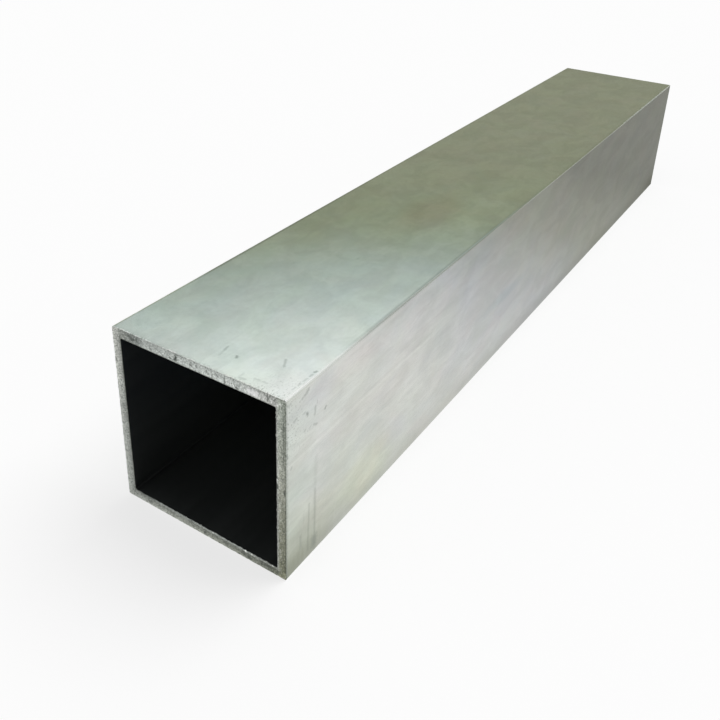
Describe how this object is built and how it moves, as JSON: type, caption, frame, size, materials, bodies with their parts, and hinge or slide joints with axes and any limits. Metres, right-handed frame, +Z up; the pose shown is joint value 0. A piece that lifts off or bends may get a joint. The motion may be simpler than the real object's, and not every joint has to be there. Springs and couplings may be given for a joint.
{
  "type": "square aluminium tube",
  "caption": "Length of extruded square aluminium box section with an even wall, an open bore and square saw-cut ends, for frames, legs and brackets.",
  "frame": {"origin": "middle of the underside, the flat side that the tube lies on", "axes": "+Y along the tube's length, +Z up out of the top side, +X across the section"},
  "size_m": [0.05, 0.3, 0.05],
  "materials": {
    "mill_aluminium": "mill finish, as extruded, with faint die lines along the length and sawn ends"
  },
  "bodies": {
    "root": {"square_tube": "mill_aluminium"}
  },
  "joints": []
}
